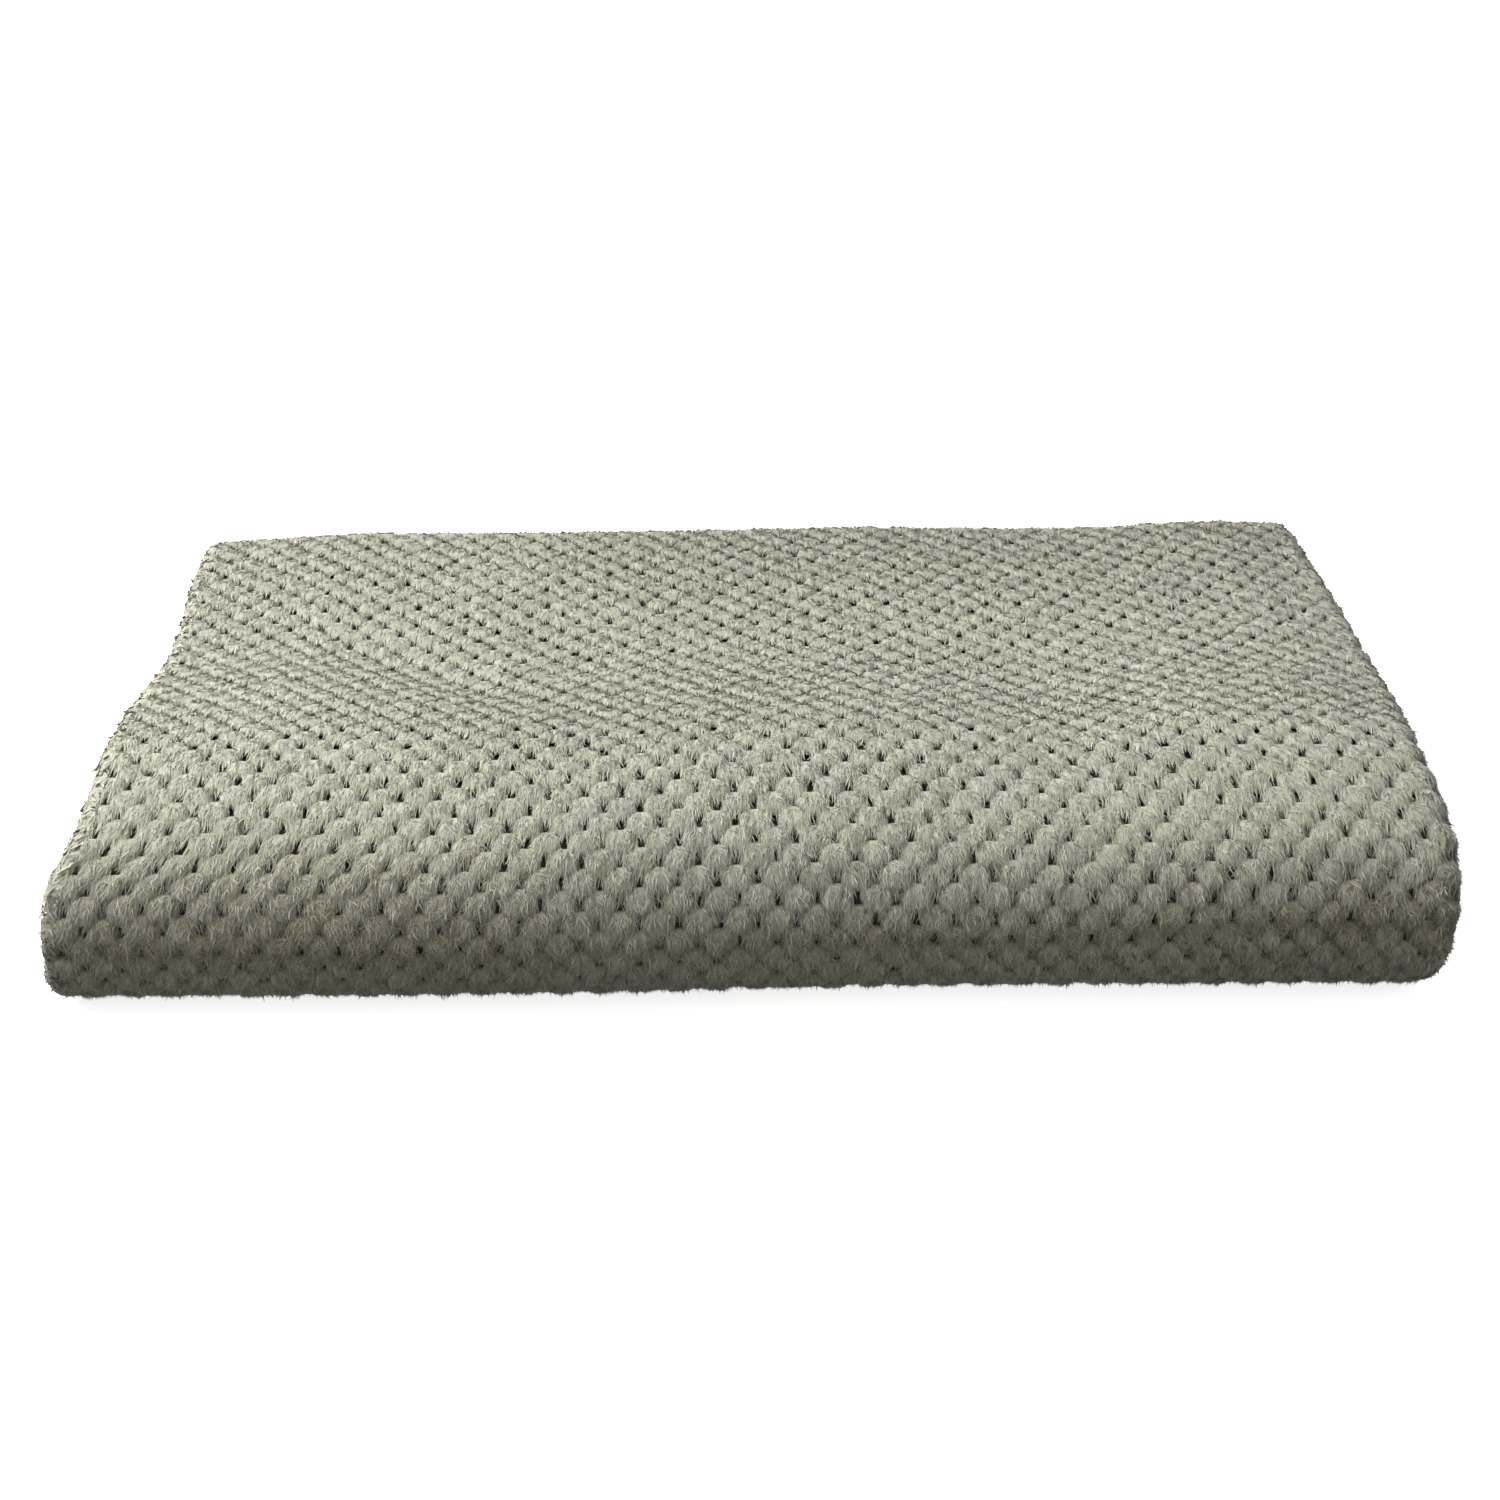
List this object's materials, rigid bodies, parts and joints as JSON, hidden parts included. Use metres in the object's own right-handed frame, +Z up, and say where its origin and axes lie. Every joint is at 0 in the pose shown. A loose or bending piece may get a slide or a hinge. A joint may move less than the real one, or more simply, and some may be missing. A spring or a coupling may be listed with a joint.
{
  "type": "folded throw blanket",
  "caption": "Fleece throw with round raised tufts, folded in thirds and closed like a book into a flat stack that opens at its front fold.",
  "frame": {"origin": "middle of the footprint, on the surface the folded stack lies on", "axes": "+X to the right seen from the front fold, +Y from the front fold to the back folds, +Z up"},
  "size_m": [0.42, 0.29, 0.0736],
  "materials": {
    "pile": "soft matt fleece pile in raised round tufts, greenish beige",
    "hem": "turned and stitched fleece edge, pile pressed flat",
    "thread": "spun polyester sewing thread, matt",
    "label": "smooth woven satin tape, blank"
  },
  "bodies": {
    "lower_half": {"bottom_centre_ply": "pile", "bottom_left_fold": "pile", "bottom_left_ply": "pile", "bottom_right_fold": "pile", "bottom_right_ply": "pile", "care_label": "label", "care_label_thread": "thread", "lower_back_centre_ply": "pile", "lower_back_left_fold": "pile", "lower_back_left_ply": "pile", "lower_back_right_fold": "pile", "lower_back_right_ply": "pile", "lower_centre_ply_end_hem": "hem", "lower_end_seam": "thread", "lower_inner_centre_ply": "pile", "lower_inner_left_fold": "pile", "lower_inner_left_ply": "pile", "lower_inner_right_fold": "pile", "lower_inner_right_ply": "pile", "lower_left_ply_end_hem": "hem", "lower_left_ply_hem": "hem", "lower_left_ply_seam": "thread", "lower_right_ply_end_hem": "hem", "lower_right_ply_hem": "hem", "lower_right_ply_seam": "thread"},
    "front_fold": {"front_centre_ply": "pile", "front_left_fold": "pile", "front_left_ply": "pile", "front_left_ply_hem": "hem", "front_left_ply_seam": "thread", "front_right_fold": "pile", "front_right_ply": "pile", "front_right_ply_hem": "hem", "front_right_ply_seam": "thread"},
    "upper_half": {"top_centre_ply": "pile", "top_left_fold": "pile", "top_left_ply": "pile", "top_right_fold": "pile", "top_right_ply": "pile", "upper_back_centre_ply": "pile", "upper_back_left_fold": "pile", "upper_back_left_ply": "pile", "upper_back_right_fold": "pile", "upper_back_right_ply": "pile", "upper_centre_ply_end_hem": "hem", "upper_end_seam": "thread", "upper_inner_centre_ply": "pile", "upper_inner_left_fold": "pile", "upper_inner_left_ply": "pile", "upper_inner_right_fold": "pile", "upper_inner_right_ply": "pile", "upper_left_ply_end_hem": "hem", "upper_left_ply_hem": "hem", "upper_left_ply_seam": "thread", "upper_right_ply_end_hem": "hem", "upper_right_ply_hem": "hem", "upper_right_ply_seam": "thread"}
  },
  "joints": [
    {"name": "open_front_fold", "type": "hinge", "parent": "lower_half", "child": "front_fold", "pos_m": [0, -0.13665, 0.00835], "axis": [1, 0, 0], "range_deg": [0, 90]},
    {"name": "open_upper_half", "type": "hinge", "parent": "front_fold", "child": "upper_half", "pos_m": [0, -0.12849, 0.05709], "axis": [1, 0, 0], "range_deg": [0, 90]}
  ],
  "couplings": [
    {"joint": "open_upper_half", "follows": "open_front_fold", "ratio": 1}
  ]
}
